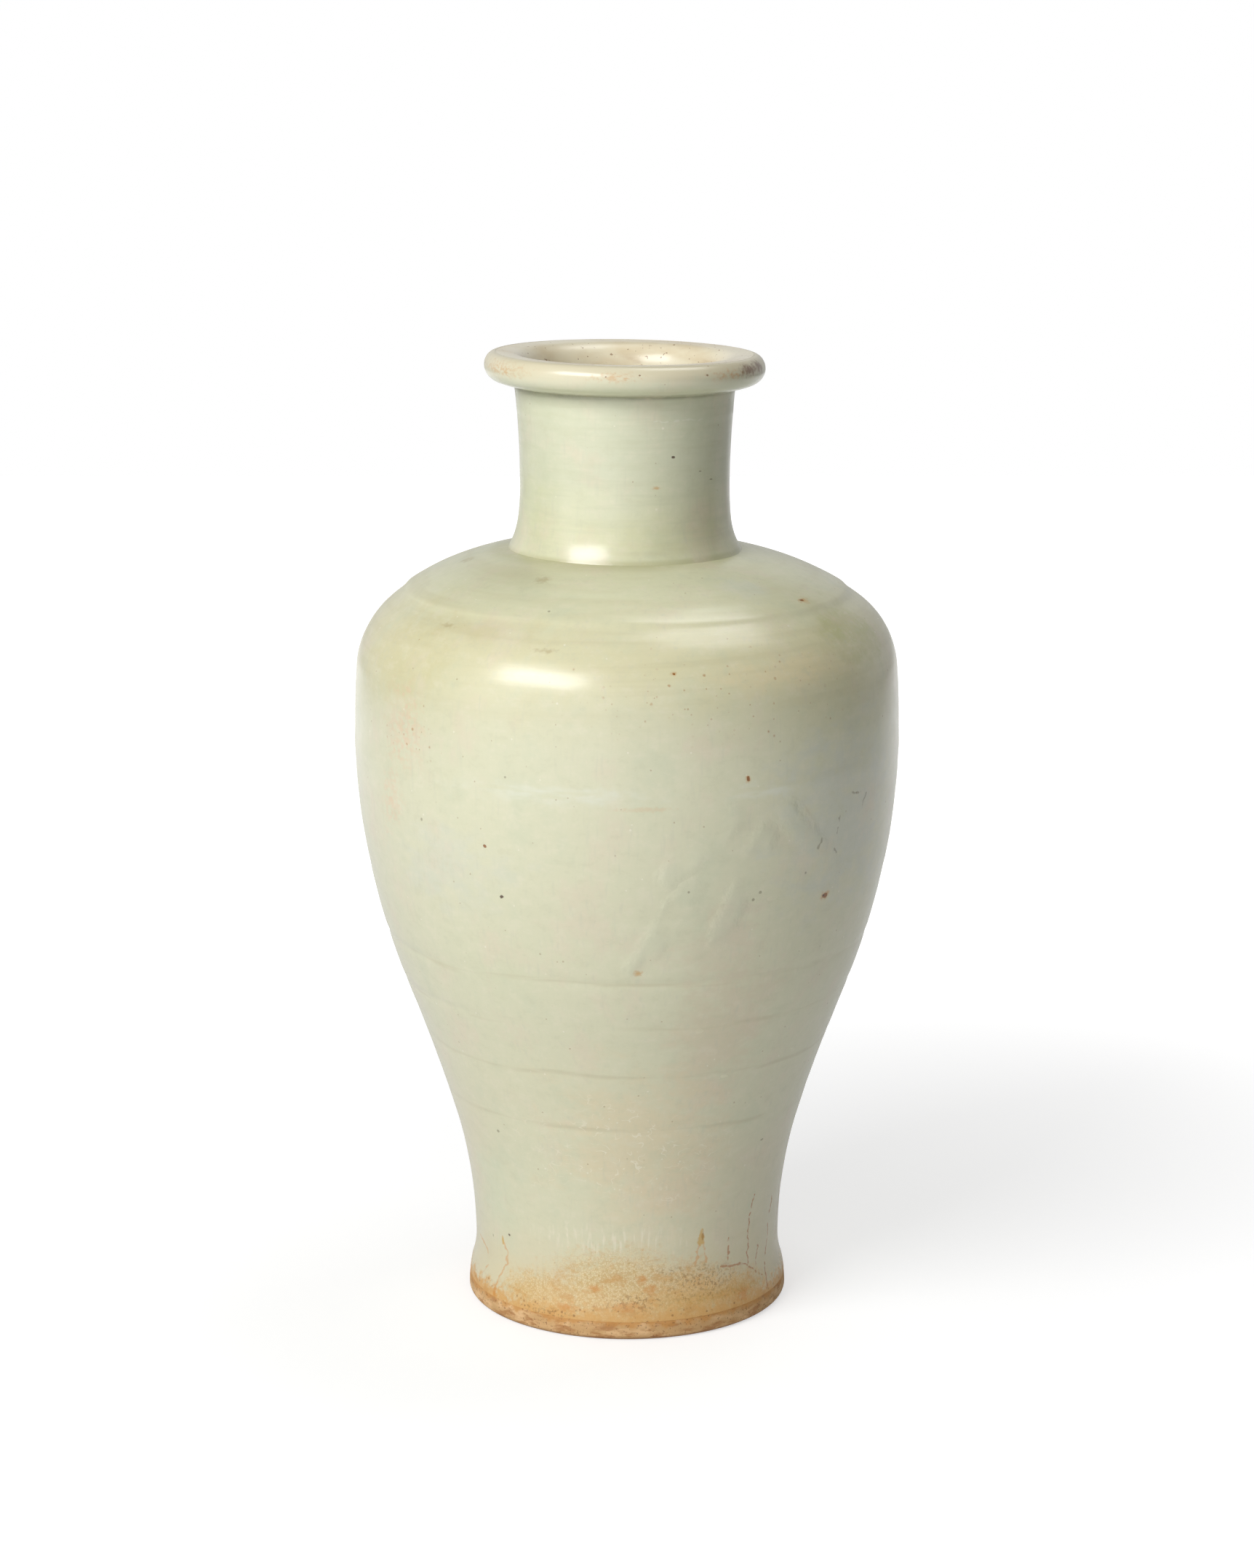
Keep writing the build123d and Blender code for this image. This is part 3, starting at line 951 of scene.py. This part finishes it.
def make_paper():
    """Paper that glows up to white, less near the vase, where its shadow has to show.

    In reflections on the glaze it is dimmer still near the vase, and fades out at both sides.
    """
    paper = bpy.data.materials.new("white_paper")
    paper.use_nodes = True
    tree = paper.node_tree
    tree.nodes.clear()
    ray = add_node(tree, "ShaderNodeLightPath").outputs
    coordinates = add_node(tree, "ShaderNodeTexCoord").outputs["Object"]
    distance = vector_math(tree, "LENGTH", coordinates)["Value"]
    across = add_node(tree, "ShaderNodeSeparateXYZ", {0: coordinates}).outputs["X"]
    aside = math_node(tree, "ABSOLUTE", across)

    def by_distance(start, end, near, far):
        """A share that goes from near to far between two distances from the vase."""
        return math_node(tree, "MULTIPLY_ADD", smooth_step(tree, distance, start, end), far - near, near)

    glow = by_distance(0.1, 0.8, near=0.6, far=1.0)
    reflected = by_distance(0.6, 1.2, near=0.6, far=1.0)
    reflected = math_node(tree, "MULTIPLY", reflected, smooth_step(tree, aside, 1.5, 0.5))
    glow = math_node(tree, "MULTIPLY", glow, math_node(tree, "MAXIMUM", reflected, ray["Is Camera Ray"]))
    matt = add_node(tree, "ShaderNodeBsdfDiffuse", {"Color": (0.8, 0.8, 0.8, 1)}).outputs[0]
    shade = add_node(tree, "ShaderNodeBsdfDiffuse", {"Color": (0.57, 0.57, 0.57, 1)}).outputs[0]
    white = add_node(tree, "ShaderNodeEmission", {"Strength": glow}).outputs[0]
    seen = add_node(tree, "ShaderNodeAddShader", {0: shade, 1: white}).outputs[0]
    looked_at = math_node(tree, "MAXIMUM", ray["Is Camera Ray"], ray["Is Glossy Ray"])
    looked_at = math_node(tree, "MAXIMUM", looked_at, ray["Is Transmission Ray"])
    mixed = add_node(tree, "ShaderNodeMixShader", {0: looked_at, 1: matt, 2: seen}).outputs[0]
    add_node(tree, "ShaderNodeOutputMaterial", {"Surface": mixed})
    return paper


paper_side = 1.6
paper_front = -1.2
paper_back = 2.2
floor_mesh = bpy.data.meshes.new("floor")
floor_corners = [(-paper_side, paper_front, 0), (paper_side, paper_front, 0)]
floor_corners += [(paper_side, paper_back, 0), (-paper_side, paper_back, 0)]
floor_mesh.from_pydata(floor_corners, [], [(0, 1, 2, 3)])
floor_mesh.materials.append(make_paper())
floor = bpy.data.objects.new("floor", floor_mesh)
bpy.context.scene.collection.objects.link(floor)

# Light
# A softbox high on the left in front, a weaker one overhead, pale walls of the studio in front and behind
# with a dim ceiling, and darkness on both sides. The camera sees the air as plain white.


def add_softbox(name, azimuth, elevation, distance, width, height, power):
    """An area lamp aimed at the belly. Azimuth 0 is the camera's side, and positive turns to the right."""
    aim = Vector((0, 0, 0.22))
    level = cos(radians(elevation))
    way = Vector((sin(radians(azimuth)) * level, -cos(radians(azimuth)) * level, sin(radians(elevation))))
    lamp = bpy.data.lights.new(name, "AREA")
    lamp.shape = "RECTANGLE"
    lamp.size = width
    lamp.size_y = height
    lamp.energy = power
    softbox = bpy.data.objects.new(name, lamp)
    softbox.location = aim + way * distance
    softbox.rotation_euler = way.to_track_quat("Z", "Y").to_euler()
    bpy.context.scene.collection.objects.link(softbox)


add_softbox("key_softbox", azimuth=-41, elevation=36.5, distance=1.6, width=0.98, height=0.54, power=16.4)
add_softbox("top_softbox", azimuth=124, elevation=70, distance=1.5, width=0.7, height=0.7, power=5.0)

world = bpy.data.worlds.new("studio")
world.use_nodes = True
bpy.context.scene.world = world
sky = world.node_tree
sky.nodes.clear()
way = add_node(sky, "ShaderNodeTexCoord").outputs["Generated"]
level_way = vector_math(sky, "MULTIPLY", way, (1, 1, 0))[0]
level_way = vector_math(sky, "NORMALIZE", level_way)[0]
upward = add_node(sky, "ShaderNodeSeparateXYZ", {0: way}).outputs["Z"]


def wall(azimuth, half_width, top, strength):
    """The light from a pale wall round one azimuth, up to an elevation, with soft edges."""
    soft = 8
    facing = (sin(radians(azimuth)), -cos(radians(azimuth)), 0)
    near = vector_math(sky, "DOT_PRODUCT", level_way, facing)["Value"]
    beside = smooth_step(sky, near, cos(radians(half_width + soft)), cos(radians(half_width - soft)))
    below = smooth_step(sky, upward, sin(radians(top + soft)), sin(radians(top - soft)))
    return math_node(sky, "MULTIPLY", math_node(sky, "MULTIPLY", beside, below), strength)


ceiling_glow = 0.2
overhead = smooth_step(sky, upward, sin(radians(50)), sin(radians(70)))
room = math_node(sky, "MULTIPLY", overhead, ceiling_glow)
walls = [
    wall(azimuth=-40, half_width=32, top=30, strength=1.2),
    wall(azimuth=5, half_width=20, top=42, strength=0.7),
    wall(azimuth=180, half_width=65, top=29, strength=0.62),
]
for light in walls:
    room = math_node(sky, "ADD", room, light)
ray = add_node(sky, "ShaderNodeLightPath").outputs
strength = math_node(sky, "MAXIMUM", room, ray["Is Camera Ray"])
background = add_node(sky, "ShaderNodeBackground", {"Color": (1, 1, 1, 1), "Strength": strength}).outputs[0]
add_node(sky, "ShaderNodeOutputWorld", {"Surface": background})

# Camera
# A long lens a little above the rim's height, 1.3 m in front of the vase.
# It looks down as far as the photograph does.
look_down = 12.815
camera_data = bpy.data.cameras.new("camera")
camera_data.lens = 82.09
camera_data.sensor_width = 36
camera = bpy.data.objects.new("camera", camera_data)
camera.location = (0, -1.27246, 0.48216)
camera.rotation_euler = (radians(90 - look_down), 0, 0)
bpy.context.scene.collection.objects.link(camera)
bpy.context.scene.camera = camera
bpy.context.scene.view_settings.view_transform = "Standard"
